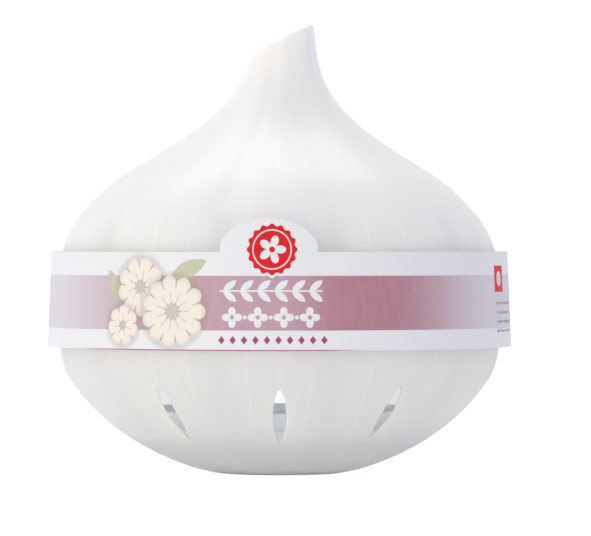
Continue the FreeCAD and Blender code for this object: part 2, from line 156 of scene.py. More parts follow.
class SleeveSizes(bpy.types.PropertyGroup):
    """Sizes of the card sleeve."""

    card: bpy.props.FloatProperty(
        name="Card", description="Thickness of the card", default=0.4 * MM, unit="LENGTH")
    edge: bpy.props.FloatProperty(
        name="Upper edge", description="Height of the band's upper edge", default=58 * MM, unit="LENGTH")
    low_radius: bpy.props.FloatProperty(
        name="Lower radius", description="Inside of the card at the lower edge", default=60.6 * MM,
        unit="LENGTH")
    high_radius: bpy.props.FloatProperty(
        name="Upper radius", description="Inside of the card at the upper edge", default=59.6 * MM,
        unit="LENGTH")
    tab_half_width: bpy.props.FloatProperty(
        name="Tab half width", description="Half the width of the round tab", default=12.5 * MM,
        unit="LENGTH")
    tab_place: bpy.props.FloatProperty(
        name="Tab place", description="Middle of the tab, to the right of the front", default=-2.7 * MM,
        unit="LENGTH")
    lap: bpy.props.FloatProperty(
        name="Glue lap", description="Angle over which the card's ends overlap behind",
        default=math.radians(14), subtype="ANGLE")


class Finishes(bpy.types.PropertyGroup):
    """Colours of the plastic and of the print."""

    plastic: bpy.props.FloatVectorProperty(
        name="Bulb plastic", description="Colour of the bowl and the lid", default=(0.97, 0.955, 0.915),
        subtype="COLOR")
    # the inside walls' bluer colour is painted cool shade on the same plastic as the outside
    inside: bpy.props.FloatVectorProperty(
        name="Bulb inside", description="Colour of the bulb's inside walls", default=(0.93, 0.95, 0.975),
        subtype="COLOR")
    # the rack's blue tint is painted cool shade, as on the bulb's inside walls
    rack: bpy.props.FloatVectorProperty(
        name="Rack plastic", description="Colour of the rack", default=(0.865, 0.93, 1.0), subtype="COLOR")
    card: bpy.props.FloatVectorProperty(
        name="Card", description="Colour of the unprinted card", default=(0.695, 0.695, 0.71),
        subtype="COLOR")
    band: bpy.props.FloatVectorProperty(
        name="Band", description="Colour of the band at its strongest", default=(0.39, 0.185, 0.228),
        subtype="COLOR")
    band_pale: bpy.props.FloatVectorProperty(
        name="Pale band", description="Colour that the band fades to", default=(0.585, 0.555, 0.60),
        subtype="COLOR")
    small_print: bpy.props.FloatVectorProperty(
        name="Small print", description="Colour of the small ornaments", default=(0.33, 0.06, 0.14),
        subtype="COLOR")
    seal: bpy.props.FloatVectorProperty(
        name="Seal", description="Colour of the round seal", default=(0.62, 0.01, 0.015), subtype="COLOR")
    cream: bpy.props.FloatVectorProperty(
        name="Blossom", description="Colour of the printed blossoms", default=(0.74, 0.68, 0.60),
        subtype="COLOR")


# ---------------- the bulb's form

@functools.cache
def read_smoothly(rows, level):
    """The values beside a level in a table, along smooth curves through the table's rows."""
    levels = [row[0] for row in rows]
    place = min(max(bisect.bisect_right(levels, level) - 1, 0), len(rows) - 2)
    low, high = rows[place], rows[place + 1]
    before, after = rows[max(place - 1, 0)], rows[min(place + 2, len(rows) - 1)]
    gap = high[0] - low[0]
    part = (level - low[0]) / gap
    values = []
    for column in range(1, len(low)):
        start = (high[column] - before[column]) / (high[0] - before[0]) * gap
        end = (after[column] - low[column]) / (after[0] - low[0]) * gap
        step = high[column] - low[column]
        values.append(low[column] + part * start + part ** 2 * (3 * step - 2 * start - end)
                      + part ** 3 * (start + end - 2 * step))
    return tuple(values)


def radius_in(rows, level):
    """The radius beside a level in a table."""
    return read_smoothly(rows, level / MM)[0] * MM


def azimuth_of(point):
    """The angle of a point about the bulb's axis, from the front round to the right."""
    return math.atan2(point.x, -point.y)


def clove_at(azimuth):
    """How far an azimuth lies from the middle of its clove, drawn in a little where the valley is rounded,
    and half that clove's width."""
    sizes = bpy.context.scene.keeper_bulb
    front = sizes.front_clove
    side = (math.pi - front) / sizes.side_cloves
    folded = math.pi / 2 - abs(abs(azimuth) - math.pi / 2)
    if folded < front / 2:
        offset, half = folded, front / 2
    else:
        offset, half = abs((folded - front / 2) % side - side / 2), side / 2
    short = max(sizes.valley_round - (half - offset), 0)
    return offset - short ** 2 / (2 * sizes.valley_round), half


def clove_radius(azimuth, crest, depth):
    """The radius of the bulb at an azimuth: one arc over each clove, between two valleys."""
    offset, half = clove_at(azimuth)
    valley = crest - depth
    centre = (crest ** 2 - valley ** 2) / (2 * (crest - valley * math.cos(half)))
    arc = crest - centre
    return centre * math.cos(offset) + math.sqrt(arc ** 2 - (centre * math.sin(offset)) ** 2)


def spaced(start, end, steps):
    return [start + (end - start) * step / steps for step in range(steps + 1)]


def tag_all(bm):
    for vert in bm.verts:
        vert.tag = True


def untagged(bm):
    """The vertices made since tag_all."""
    return [vert for vert in bm.verts if not vert.tag]


def add_profile(bm, places):
    """The vertices and edges of an open line through places."""
    verts = [bm.verts.new(place) for place in places]
    return verts, [bm.edges.new(pair) for pair in zip(verts, verts[1:])]


def turn_outline(bm, outline, columns):
    """Turn an outline of (radius, height) points about the bulb's axis. Returns the new vertices."""
    tag_all(bm)
    verts, edges = add_profile(bm, [(0, -radius, height) for radius, height in outline])
    sector = math.tau / SECTORS
    spin_about_axis(bm, verts + edges, sector, columns // SECTORS)
    verts = untagged(bm)
    faces = list({face for vert in verts for face in vert.link_faces})
    spin_about_axis(bm, verts + faces, math.tau - sector, SECTORS - 1, use_duplicate=True)
    bmesh.ops.remove_doubles(bm, verts=untagged(bm), dist=WELD)
    return untagged(bm)


def spin_about_axis(bm, geom, angle, steps, use_duplicate=False):
    bmesh.ops.spin(bm, geom=geom, cent=(0, 0, 0), axis=(0, 0, 1), dvec=(0, 0, 0), angle=angle, steps=steps,
                   use_merge=False, use_normal_flip=False, use_duplicate=use_duplicate)


def place_round(vert, radius, azimuth, shift=0.0):
    vert.co.x = shift + radius * math.sin(azimuth)
    vert.co.y = -radius * math.cos(azimuth)


def press_cloves(verts, table, lean=None):
    """Press the cloves into a turned outer surface. lean gives how far a level follows the slanted cut."""
    slope = math.tan(bpy.context.scene.keeper_bulb.cut_slope)
    for vert in verts:
        azimuth = azimuth_of(vert.co)
        radius = math.hypot(vert.co.x, vert.co.y)
        base = vert.co.z
        whole = radius_in(table, base)
        share = radius / whole
        height = base
        for _ in range(4 if lean else 1):
            crest, depth, shift = (value * MM for value in read_smoothly(table, height / MM))
            inset = (whole - radius) * (1 if share > 0.5 else crest / whole)
            pressed = clove_radius(azimuth, crest, depth) - crest
            reach = max(crest - inset + pressed * share, 0)
            place_round(vert, reach, azimuth, shift)
            if lean:
                height = base + lean(base) * slope * vert.co.x
        vert.co.z = height


def open_slit(bm, azimuth, half_width, spread, slide=lambda point: 0):
    """Split the mesh along one column and push the two sides apart, less and less up to an angle of spread.
    half_width gives half the gap at a point, or None beyond the slit, and slide how far the slit moves aside
    there. Returns the edges of the two openings, joined by a wall."""
    across = Vector((math.cos(azimuth), math.sin(azimuth), 0))
    outward = Vector((math.sin(azimuth), -math.cos(azimuth), 0))

    def on_seam(vert):
        ahead = vert.co.dot(outward) > 0
        return ahead and abs(vert.co.dot(across)) < WELD and half_width(vert.co) is not None

    seam = [edge for edge in bm.edges if all(map(on_seam, edge.verts))]
    bmesh.ops.split_edges(bm, edges=seam)
    moves = []
    for vert in bm.verts:
        width, aside = half_width(vert.co), vert.co.dot(across)
        turned = math.atan2(abs(aside), vert.co.dot(outward))
        if turned >= spread:
            continue
        if abs(aside) < WELD:
            aside = sum(face.calc_center_median().dot(across) for face in vert.link_faces)
        move = slide(vert.co) + math.copysign(width or 0, aside)
        moves.append((vert, move * (1 - turned / spread)))
    for vert, move in moves:
        vert.co += move * across
    lips = [edge for edge in bm.edges if edge.is_boundary]
    bmesh.ops.bridge_loops(bm, edges=lips)
    return [edge for edge in lips if edge.is_valid]


def bridge_open_rims(bm):
    bmesh.ops.bridge_loops(bm, edges=[edge for edge in bm.edges if edge.is_boundary])


def bevel_edges(bm, edges, offset, segments=3):
    bmesh.ops.bevel(bm, geom=edges, offset=offset, segments=segments, affect="EDGES", profile=0.5,
                    material=-1, clamp_overlap=True)


def turn_hollow(bm, outline, columns):
    """Turn the outline of an inside wall, which takes the piece's second material. Returns its vertices."""
    wall = turn_outline(bm, outline, columns)
    for face in {face for vert in wall for face in vert.link_faces}:
        face.material_index = 1
    return wall


def add_object(name, data):
    added = bpy.data.objects.new(name, data)
    bpy.context.scene.collection.objects.link(added)
    return added


def finish_piece(name, bm, materials, body, replaced):
    """Make an object of a mesh, with its materials, its body and the CAD node that it stands for."""
    bmesh.ops.recalc_face_normals(bm, faces=bm.faces)
    mesh = bpy.data.meshes.new(name)
    bm.to_mesh(mesh)
    bm.free()
    mesh.shade_smooth()
    mesh.set_sharp_from_angle(angle=SHARP)
    for material in materials:
        mesh.materials.append(material)
    piece = add_object(name, mesh)
    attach(piece, body)
    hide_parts(replaced)
    return piece


# ---------------- shader maths

class Value:
    """A socket of a material or a world. Arithmetic on it adds Math nodes."""

    def __init__(self, nodes, socket):
        self.nodes = nodes
        self.socket = socket

    def math(self, operation, *others):
        return self.nodes.maths(operation, self, *others)

    def __add__(self, other):
        return self.math("ADD", other)

    def __sub__(self, other):
        return self.math("SUBTRACT", other)

    def __rsub__(self, other):
        return self.nodes.maths("SUBTRACT", other, self)

    def __mul__(self, other):
        return self.math("MULTIPLY", other)

    def __truediv__(self, other):
        return self.math("DIVIDE", other)

    __radd__ = __add__
    __rmul__ = __mul__

    def __neg__(self):
        return self.math("MULTIPLY", -1)

    def __abs__(self):
        return self.math("ABSOLUTE")

    def most(self, other):
        return self.math("MAXIMUM", other)

    def cosine(self):
        return self.math("COSINE")

    def root(self):
        return self.math("SQRT")

    def part(self):
        """What is left above the whole number below."""
        return self.math("FRACT")

    def whole(self):
        return self.math("FLOOR")

    def ramp(self, start, end):
        """0 at start and 1 at end, smooth between them and level beyond."""
        inputs = {"Value": self, "From Min": start, "From Max": end}
        return self.nodes.node("ShaderNodeMapRange", {"interpolation_type": "SMOOTHSTEP"}, inputs)


class Nodes:
    """The nodes of a material or a world."""

    def __init__(self, tree):
        self.tree = tree

    def node(self, kind, settings=None, inputs=None, output=None):
        """Add a node with its settings and then its inputs. Returns its first output, or a named one."""
        node = self.tree.nodes.new(kind)
        for name, value in (settings or {}).items():
            setattr(node, name, value)
        for name, value in (inputs or {}).items():
            if isinstance(name, int):
                socket = node.inputs[name]
            else:
                socket = next(each for each in node.inputs if each.name == name and each.enabled)
            self.put(socket, value)
        found = next(each for each in node.outputs if each.enabled and output in (None, each.name))
        return Value(self, found)

    def put(self, socket, value):
        if isinstance(value, Value):
            self.tree.links.new(value.socket, socket)
        elif socket.type == "RGBA" and len(value) == 3:
            socket.default_value = (*value, 1)
        else:
            socket.default_value = value

    def maths(self, operation, *values):
        return self.node("ShaderNodeMath", {"operation": operation}, dict(enumerate(values)))

    def mix(self, factor, first, second):
        """A colour between two colours."""
        return self.node("ShaderNodeMix", {"data_type": "RGBA"}, {"Factor": factor, "A": first, "B": second})

    def rays(self, kind):
        """1 for the rays of one kind, and 0 for others."""
        return self.node("ShaderNodeLightPath", output=f"Is {kind} Ray")


class Finish(Nodes):
    """A material with its Principled shader and nodes."""

    def __init__(self, name):
        self.material = bpy.data.materials.new(name)
        self.material.use_nodes = True
        super().__init__(self.material.node_tree)
        self.shader = self.tree.nodes["Principled BSDF"]
        self.position = self.node("ShaderNodeTexCoord", output="Object")
        place = {"Vector": self.position}
        self.x, self.y, self.z = (
            self.node("ShaderNodeSeparateXYZ", inputs=place, output=axis) for axis in "XYZ")

    def surface(self, inputs):
        """Give the shader its inputs."""
        for name, value in inputs.items():
            self.put(self.shader.inputs[name], value)

    def blend_in(self, factor, other):
        """Mix a second shader with the Principled one, by a factor."""
        own = Value(self, self.shader.outputs[0])
        mixed = self.node("ShaderNodeMixShader", inputs={0: factor, 1: own, 2: other})
        self.tree.links.new(mixed.socket, self.tree.nodes["Material Output"].inputs["Surface"])

    def let_light_through(self, share, colour):
        """Thin plastic passes on a share of the light that falls on it."""
        self.blend_in(share, self.node("ShaderNodeBsdfTranslucent", inputs={"Color": colour}))

    def vector(self, x, y, z):
        return self.node("ShaderNodeCombineXYZ", inputs={"X": x, "Y": y, "Z": z})

    def noise(self, scale, detail, vector=None):
        """Cloudy noise between 0 and 1."""
        return self.node("ShaderNodeTexNoise", inputs={
            "Vector": vector or self.position, "Scale": scale, "Detail": detail}, output="Fac")

    def bump(self, height, distance):
        return self.node("ShaderNodeBump", inputs={"Height": height, "Distance": distance})

    def azimuth(self):
        """The angle about the bulb's axis, from the front round to the right."""
        return self.x.math("ARCTAN2", -self.y)

    def radius(self):
        """The distance from the bulb's axis."""
        return distance_of(self.x, self.y)


def distance_of(right, rise):
    return (right * right + rise * rise).root()


def scaled(colour, *shares):
    """A colour with its channels multiplied, each by its own share or all by one."""
    return [channel * share for channel, share in zip(colour, shares * 3)]


# ---------------- plastic

def place_in_clove(azimuth):
    """What clove_at tells about an azimuth, in shader maths and with sharp valleys."""
    sizes = bpy.context.scene.keeper_bulb
    front = sizes.front_clove
    side = (math.pi - front) / sizes.side_cloves
    folded = math.pi / 2 - abs(abs(azimuth) - math.pi / 2)
    in_front = folded.math("LESS_THAN", front / 2)
    beside = abs(((folded - front / 2) / side).part() - 0.5) * side
    offset = in_front * folded + (1 - in_front) * beside
    half = in_front * (front / 2) + (1 - in_front) * (side / 2)
    return offset, half


def bulb_plastic(name, plastic, low_share, share):
    """Satin moulded plastic: raised veins along the cloves, painted lighter as a painted highlight, painted
    shade in the valleys, faint streaks and a fine grain. It passes on low_share of the light below the
    sleeve, and share above."""
    finish = Finish(name)
    azimuth, radius, z = finish.azimuth(), finish.radius() / MM, finish.z / MM
    wander = (finish.noise(14, 1) - 0.5) * math.radians(1.2)
    offset, half = place_in_clove(azimuth)
    streaks = finish.noise(1.6, 3, finish.vector(azimuth * 9, 0.0, z * 0.014))
    grain = finish.noise(1500, 2)

    # veins, raised and painted lighter as a painted highlight, strongest beside the sleeve
    level = z.ramp(4, 20) * (1 - 0.8 * z.ramp(60, 72))
    strength = finish.noise(1.0, 1, finish.vector(azimuth * 5, 3.0, z * 0.03)).ramp(0.30, 0.62)
    middle_vein = 1 - (abs(offset + wander) * radius).ramp(0.0, 0.55)
    side_vein = 1 - (abs(offset - half * 0.54 + wander) * radius).ramp(0.0, 0.5)
    veins = middle_vein.most(side_vein) * level * (0.35 + 0.65 * strength)

    # painted shade in the valleys, deepest just above the sleeve
    valley = 1 - ((half - offset) * radius).ramp(0.0, 4.5)
    painted_valley_dip = valley * z.ramp(50, 58) * (1 - z.ramp(60, 70))
    cloud = (finish.noise(30, 2) - 0.5) * 0.2
    # 1.1 * veins paints the veins lighter as a painted highlight; the valley terms are painted shade; cloud
    # is a faint random tone
    shade = 0.45 + 1.1 * veins - valley * level * 0.4 - painted_valley_dip * 0.8 + cloud

    # the base colour runs from the plastic down to a darker copy of it: painted shade in the valleys, painted
    # highlight on the veins, and a faint random tone
    finish.surface({
        "Base Color": finish.mix(shade.ramp(-0.5, 1.5), scaled(plastic, 0.88), plastic),
        "Roughness": 0.36 + finish.noise(220, 2) * 0.08 - veins * 0.05,
        "Normal": finish.bump(veins + streaks * 0.6 + grain * 0.1, 0.05 * MM),
        "Specular IOR Level": 0.3,
        **soft_light(4 * MM)})
    extra_share = (1 - z.ramp(32, 50)) * (low_share - share)
    thick_stem = 1 - 0.5 * z.ramp(90, 110)
    finish.let_light_through((extra_share + share) * thick_stem, plastic)
    return finish.material


def soft_light(reach):
    """Settings for light that spreads a little way under a surface."""
    return {"Subsurface Weight": 0.3, "Subsurface Radius": (1.0, 1.05, 1.2), "Subsurface Scale": reach}


def bulb_plastics(name):
    """The plastic of a wall's outside and of its inside, whose bluer colour is painted cool shade. The
    outside sets how much light passes.
    """
    colours = bpy.context.scene.keeper_finishes
    return (bulb_plastic(name, colours.plastic, 0.56, 0.3),
            bulb_plastic(f"{name}_inside", colours.inside, 0.9, 0.9))


def rack_plastic():
    """The rack's plainer plastic, tinted faintly blue as painted cool shade."""
    colours = bpy.context.scene.keeper_finishes
    finish = Finish("rack_plastic")
    cloud = finish.noise(60, 2)
    finish.surface({
        "Base Color": finish.mix(cloud.ramp(0.3, 0.7), scaled(colours.rack, 0.94), colours.rack),
        "Roughness": 0.34 + cloud * 0.1,
        "Normal": finish.bump(finish.noise(1200, 2), 0.02 * MM),
        "IOR": 1.49,
        **soft_light(2 * MM)})
    finish.let_light_through(0.12, colours.rack)
    return finish.material


# ---------------- print

def inside(distance):
    """1 where a distance from an outline is negative, and 0 where it is positive."""
    return 1 - distance.ramp(-BLUR, BLUR)


def leaf(right, rise, degrees, length, width):
    """A pointed leaf round the origin, turned by an angle."""
    turn_cos, turn_sin = math.cos(math.radians(degrees)), math.sin(math.radians(degrees))
    right, rise = right * turn_cos + rise * turn_sin, rise * turn_cos - right * turn_sin
    ring = (length ** 2 + width ** 2) / (4 * width)
    drop = ring - width / 2
    return inside(distance_of(right, rise + drop).most(distance_of(right, rise - drop)) - ring)


def petals(around, count, turn=0.0):
    """1 along the middles of a flower's petals, and 0 between them."""
    return abs((around * (count / 2) + turn).cosine())


class CardPrint(Finish):
    """The sleeve's card. A place on it is a distance along from the front, and a height, both in mm."""

    def __init__(self, name, radius):
        super().__init__(name)
        self.inks = bpy.context.scene.keeper_finishes
        self.along = self.azimuth() * (radius / MM)
        self.up = self.z / MM
        self.colour = self.inks.card

    def lay(self, cover, ink):
        """Print an ink over the others, where cover is 1."""
        self.colour = self.mix(cover, self.colour, ink)

    def away(self, place, height):
        """Distance from a place."""
        return distance_of(self.along - place, self.up - height)

    def angle(self, place, height):
        return (self.up - height).math("ARCTAN2", self.along - place)

    def strip(self, low, high):
        return inside(low - self.up) * inside(self.up - high)

    def stretch(self, start, end):
        return inside(start - self.along) * inside(self.along - end)

    def row(self, start, pitch):
        """Distance along the card from the middle of the nearest ornament of a row."""
        return (((self.along - start) / pitch).part() - 0.5) * pitch

    def band(self):
        """The band, strongest to the right of the front and pale at both ends, and a thin line under it."""
        along = self.along
        spread = self.noise(2.2, 4, self.vector(along * 0.26, 0.0, self.up * 0.07))
        rise = along.ramp(-78, -22) * 0.72 + along.ramp(0.0, 16) * 0.28
        strength = rise * (1 - along.ramp(28, 68)) * (0.97 + 0.24 * (spread - 0.5))
        self.lay(self.strip(38.3, 52.0), self.mix(strength, self.inks.band_pale, self.inks.band))
        line_ends = along.ramp(-70, -40) * (1 - along.ramp(10, 26))
        self.lay(self.strip(33.0, 33.5) * line_ends * 0.85, self.inks.small_print)

    def ornaments(self):
        """A white garland over white flowers and dots, and a row of diamonds under the band."""
        start, end = -15.4, 11.0
        right, rise = self.row(start, 4.4) - 0.5, self.up - 48.2
        spray = 1.35
        white = leaf(right, rise - spray, 38, 4.3, 1.7)
        white = white.most(leaf(right, rise + spray, -38, 4.3, 1.7))
        white = white.most(inside(abs(rise) - 0.22))

        pitch = 6.6
        right, rise = self.row(start, pitch), self.up - 41.6
        distance = distance_of(right, rise)
        around = rise.math("ARCTAN2", right)
        flowers = inside(distance - (1.15 + 1.45 * petals(around, 4)))
        flowers = flowers * (1 - inside(distance - 0.55))
        dots = inside(distance_of(self.row(start + pitch / 2, pitch), rise) - 0.5)
        flowers = flowers.most(dots * self.stretch(-13.5, 9.0))
        self.lay(white.most(flowers) * self.stretch(start, end), self.inks.card)

        start = -16.2
        right, rise = abs(self.row(start, 2.9)), abs(self.up - 35.9)
        diamonds = inside(right + rise * 0.8 - 0.85)
        self.lay(diamonds * self.stretch(start, 12.8), self.inks.small_print)

    def blossoms(self):
        """Three cream blossoms with two leaves, to the left of the front."""
        leaves = leaf(self.along + 24.0, self.up - 53.6, 24, 11, 4.2)
        leaves = leaves.most(leaf(self.along + 46.6, self.up - 49.0, 118, 10, 3.8))
        self.lay(leaves, scaled(self.inks.cream, 0.66, 0.72, 0.60))
        self.blossom(-38.0, 49.2, 7.6, 9, 0.4)
        self.blossom(-43.6, 39.4, 5.2, 7, 1.1)
        self.blossom(-28.2, 43.0, 9.2, 11, 0.0)

    def blossom(self, place, height, reach, count, turn):
        """A round blossom over its shadow, with inner petals between its outer ones."""
        away, around = self.away(place, height), self.angle(place, height)
        dark = scaled(self.inks.cream, 0.34, 0.26, 0.24)
        self.lay((1 - (away - reach).ramp(-0.4, 1.6)) * 0.3, dark)
        distance = away / reach
        outer = petals(around, count, turn)
        inner = petals(around, count, turn + math.pi / 2)
        ring = (distance - 0.46 - 0.14 * inner).ramp(-0.03, 0.10)
        heart = (distance - 0.20 - 0.05 * outer).ramp(-0.03, 0.06)
        fold = outer.ramp(0.0, 0.35) * ring + inner.ramp(0.0, 0.35) * (1 - ring)
        edge = (0.92 + 0.1 * outer - distance).ramp(0.0, 0.25)
        shade = (0.55 + 0.45 * fold) * (0.62 + 0.38 * heart) * (0.72 + 0.28 * edge)
        shade = shade * (0.75 + 0.25 * (1 - (0.62 - distance).ramp(0.0, 0.16) * ring))
        cover = inside((distance - 0.84 - 0.16 * outer) * reach)
        self.lay(cover, self.mix(shade.ramp(0.1, 1.0), dark, self.inks.cream))

    def seal(self):
        """The scalloped seal on the tab: white rim, red field, a white ring and a white flower."""
        place, height = -1.9, 58.6
        distance, around = self.away(place, height), self.angle(place, height)
        scalloped = distance - 0.3 * (around * 16).cosine()
        self.lay(inside(scalloped - 6.9), self.inks.card)
        self.lay(inside(scalloped - 6.2), self.inks.seal)
        ring = inside(abs(distance - 4.9) - 0.16)
        flower = inside(distance - (1.3 + 2.3 * petals(around, 5)))
        flower = flower * (1 - inside(distance - 0.75))
        self.lay(ring.most(flower), self.inks.card)

    def right_end(self):
        """A small red block with a round gap, over broken grey rules."""
        block = self.strip(47.6, 54.4) * self.stretch(71.5, 78.5)
        gap = inside(self.away(75.0, 51.0) - 1.9)
        self.lay(block * (1 - gap), self.inks.seal)
        low, pitch = 36.4, 2.36
        rules = inside(abs(((self.up - low) / pitch).part() - 0.5) * pitch - 0.33)
        rules = rules * self.strip(low, 45.8) * self.stretch(72.0, 88.0)
        breaks = self.noise(1.0, 0, self.vector(self.along * 0.9, 0.0, (self.up / pitch).whole() * 7))
        self.lay(rules * breaks.ramp(0.42, 0.46) * 0.8, scaled(self.inks.card, 0.25))

    def clear_inside(self, low, radius_low, flare):
        """Take the print off the inside. The card's middle has radius_low at the level low, and flare less
        for each metre above it."""
        middle = radius_low - (self.z - low) * flare
        outside = (self.radius() - middle).ramp(-0.05 * MM, 0.05 * MM)
        self.colour = self.mix(outside, self.inks.card, self.colour)


def printed_card(low, radius_low, flare):
    """Coated card, printed outside. clear_inside tells what low, radius_low and flare are."""
    sizes = bpy.context.scene.keeper_sleeve
    card = CardPrint("printed_card", sizes.low_radius + sizes.card)
    card.band()
    card.ornaments()
    card.blossoms()
    card.seal()
    card.right_end()
    card.clear_inside(low, radius_low, flare)
    fibre = card.noise(900, 3)
    card.surface({
        "Base Color": card.colour,
        "Roughness": 0.45 + fibre * 0.08,
        "Normal": card.bump(fibre * 0.4 + card.noise(24, 2) * 2.0, 0.03 * MM),
        "Coat Weight": 0.02 + card.noise(40, 1) * 0.06,
        "Coat Roughness": 0.3,
        "Specular IOR Level": 0.15})
    return card.material


# ---------------- operators

class KEEPER_OT_lid(bpy.types.Operator):
    """Make the lid: the bulb's dome and its stem, cut off at a slant"""

    bl_idname = "keeper.lid"
    bl_label = "Lid"

    def execute(self, context):
        sizes = context.scene.keeper_bulb
        rim, top, edge = sizes.rim_level, sizes.cut_level, sizes.cut_round
        round_start, round_steps = top - edge, 6
        stem = 100 * MM
        levels = spaced(rim + sizes.rim_round, stem, 44)[:-1] + spaced(stem, round_start, 12)
        outline = [(radius_in(LID_CLOVES, rim) - sizes.rim_round, rim)]
        outline += [(radius_in(LID_CLOVES, level), level) for level in levels]
        for step in range(1, round_steps + 1):
            turned = step / round_steps * math.pi / 2
            level = round_start + edge * math.sin(turned)
            outline.append((radius_in(LID_CLOVES, level) - edge * (1 - math.cos(turned)), level))
        flat = outline[-1][0]
        outline += [(flat * share, top) for share in (0.75, 0.45, 0.2, 0.0)]
        bm = bmesh.new()
        press_cloves(turn_outline(bm, outline, COLUMNS), LID_CLOVES, self.lean)
        self.add_hollow(bm, sizes)
        bridge_open_rims(bm)
        piece = finish_piece("bulb_lid", bm, bulb_plastics("lid_plastic"), "lid", "lid")
        return {"FINISHED"}

    @staticmethod
    def lean(level):
        """How far a level of the stem follows the slant of its cut, from 0 to 1."""
        start, rise = 97 * MM, 11 * MM
        return min(max((level - start) / rise, 0), 1)

    def add_hollow(self, bm, sizes):
        """The hollow starts just above the rim, because loops in one plane may be bridged crosswise."""
        slope = math.tan(sizes.cut_slope)
        end = LID_HOLLOW[-1][0] * MM
        levels = spaced(sizes.rim_level + sizes.rim_round / 2, end, 40)
        outline = [(radius_in(LID_HOLLOW, level), level) for level in levels]
        outline += [(outline[-1][0] * share, end) for share in (0.5, 0.0)]
        for vert in turn_hollow(bm, outline, COLUMNS // 2):
            lean = self.lean(vert.co.z)
            shift = read_smoothly(LID_CLOVES, vert.co.z / MM)[2] * MM
            vert.co.x += shift * lean
            vert.co.z += slope * vert.co.x * lean


class KEEPER_OT_bowl(bpy.types.Operator):
    """Make the bowl: its foot, cloves and vents, and the ring that centres the lid"""

    bl_idname = "keeper.bowl"
    bl_label = "Bowl"

    def execute(self, context):
        sizes = context.scene.keeper_bulb
        bm = bmesh.new()
        lift = (sizes.vent_high - sizes.vent_low) / VENT_ROWS * SIDE_VENT_ROWS
        highest = sizes.vent_high + lift
        vent_levels = spaced(sizes.vent_low, highest, VENT_ROWS + SIDE_VENT_ROWS)
        rim_start = sizes.rim_level - sizes.rim_round
        low_levels = [level * MM for level in (0.25, 0.6, 1.0, 1.6, 2.5, 3.7, 5.2, 7.0, 8.2)]
        levels = low_levels + vent_levels + spaced(highest, rim_start, 14)[1:]
        recess, floor = 12 * MM, 0.6 * MM
        foot = radius_in(BOWL_CLOVES, 0)
        outline = [(0, floor), (recess / 2, floor), (recess - 0.2 * MM, floor), (recess, floor - 0.2 * MM),
                   (recess, 0.15 * MM), (recess + 0.15 * MM, 0), (foot - 0.3 * MM, 0)]
        outline += [(radius_in(BOWL_CLOVES, level), level) for level in levels]
        outline.append((radius_in(BOWL_CLOVES, sizes.rim_level) - sizes.rim_round, sizes.rim_level))
        skin = turn_outline(bm, outline, COLUMNS)
        above_foot = [vert for vert in skin if math.hypot(vert.co.x, vert.co.y) > foot - 0.1 * MM]
        press_cloves(above_foot, BOWL_CLOVES)
        turn_hollow(bm, self.hollow(sizes, vent_levels), COLUMNS)
        bridge_open_rims(bm)
        for turn in (0, math.pi):
            for side in (-1, 0, 1):
                self.add_vent(bm, sizes, turn + side * sizes.vent_angle, abs(side) * lift)
        piece = finish_piece("bulb_bowl", bm, bulb_plastics("bowl_plastic"), "bowl", "bowl")
        return {"FINISHED"}

    @staticmethod
    def hollow(sizes, vent_levels):
        """The inside of the bowl, from the rim over the centring ring and down to the floor."""
        rim = sizes.rim_level
        hollow = BOWL_HOLLOW[-1][1] * MM
        outer = hollow - 0.3 * MM
        inner = outer - 1.5 * MM
        outline = [(outer, rim), (outer, rim + 3.3 * MM), (outer - 0.25 * MM, rim + 3.8 * MM),
                   (outer - 0.75 * MM, rim + 4 * MM), (inner + 0.2 * MM, rim + 4 * MM),
                   (inner, rim + 3.8 * MM), (inner, rim), (inner, rim - 3.25 * MM),
                   (hollow - 0.2 * MM, rim - 6 * MM)]
        rest = [level * MM for level in (37, 35, 33, 31, 29, 27, 25.8)]
        low = [level * MM for level in (8.2, 7.0, 5.2, 3.7, 2.7, 2.4)]
        for level in rest + vent_levels[::-1] + low:
            outline.append((radius_in(BOWL_HOLLOW, level), level))
        floor = outline[-1][1]
        return outline + [(outline[-1][0] * share, floor) for share in (0.6, 0.3, 0.0)]

    @staticmethod
    def add_vent(bm, sizes, azimuth, lift):
        """Cut a vent: pointed below, blunter above, with a rounded outer edge."""
        low, high = sizes.vent_low + lift, sizes.vent_high + lift
        middle, width, length = (low + high) / 2, sizes.vent_width, high - low
        ring = (length ** 2 + width ** 2) / (4 * width)

        def hollow_at(level):
            return radius_in(BOWL_HOLLOW, max(level, BOWL_HOLLOW[0][0] * MM))

        def half_width(point):
            if point.z < low - NEAR or point.z > high + NEAR:
                return None
            off = min(abs(point.z - middle), length / 2)
            pointed = max(math.sqrt(ring ** 2 - off ** 2) - (ring - width / 2), 0)
            blunt = width / 2 * math.sqrt(1 - (2 * off / length) ** 2)
            return pointed + (blunt - pointed) * (sizes.vent_blunt if point.z > middle else 0)

        def on_skin(point):
            return math.hypot(point.x, point.y) > hollow_at(point.z) + 0.6 * MM

        def slide(point):
            """The inner wall's slit moves aside, so that the vent's sides run nearly straight back."""
            beyond = max(low - point.z, point.z - high, 0) / sizes.vent_run_out
            if beyond >= 1 or on_skin(point):
                return 0
            wall = radius_in(BOWL_CLOVES, point.z) - hollow_at(point.z)
            return wall * math.tan(azimuth) * sizes.vent_draw * (1 - beyond)

        def on_rounded_edge(vert):
            at_tip = abs(abs(vert.co.z - middle) - length / 2) < NEAR
            return on_skin(vert.co) and not at_tip

        lips = open_slit(bm, azimuth, half_width, spread=math.radians(11), slide=slide)
        bevel_edges(bm, [lip for lip in lips if all(map(on_rounded_edge, lip.verts))], sizes.vent_round)


